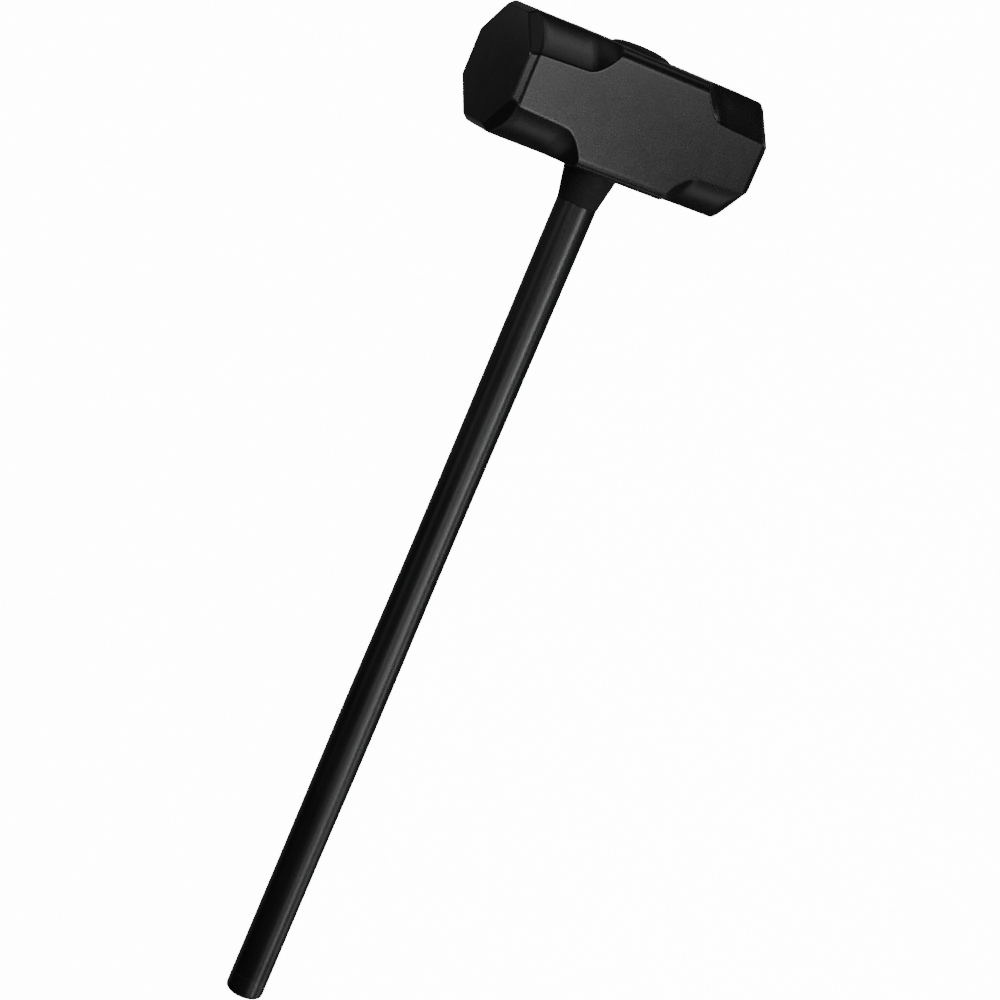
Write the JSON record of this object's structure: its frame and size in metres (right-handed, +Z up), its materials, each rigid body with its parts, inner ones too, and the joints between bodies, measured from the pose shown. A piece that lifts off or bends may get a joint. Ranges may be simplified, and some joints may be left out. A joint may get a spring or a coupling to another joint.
{
  "type": "sledge hammer",
  "caption": "Long-handled sledge hammer with two flat octagonal striking faces, corner chamfers, a domed eye cap and a flared neck collar, for breaking and driving.",
  "frame": {"origin": "on the resting cheek of the head, straight below the centre of the eye", "axes": "+X along the head, +Y along the handle from the butt towards the head, +Z up out of the upper cheek"},
  "size_m": [0.2, 0.745, 0.086],
  "materials": {
    "head_coating": "satin black coating on forged steel",
    "fibreglass": "ground fibreglass rod",
    "cast_resin": "cast epoxy resin",
    "dam_rubber": "matt rubber",
    "cap_plastic": "satin black moulded plastic",
    "collar_rubber": "matt black rubber",
    "jacket_plastic": "satin black moulded plastic"
  },
  "bodies": {
    "root": {"head": "head_coating", "handle_core": "fibreglass", "eye_resin": "cast_resin", "resin_dam": "dam_rubber", "eye_cap": "cap_plastic", "neck_collar": "collar_rubber", "handle_jacket": "jacket_plastic", "butt_cap": "cap_plastic"}
  },
  "joints": []
}
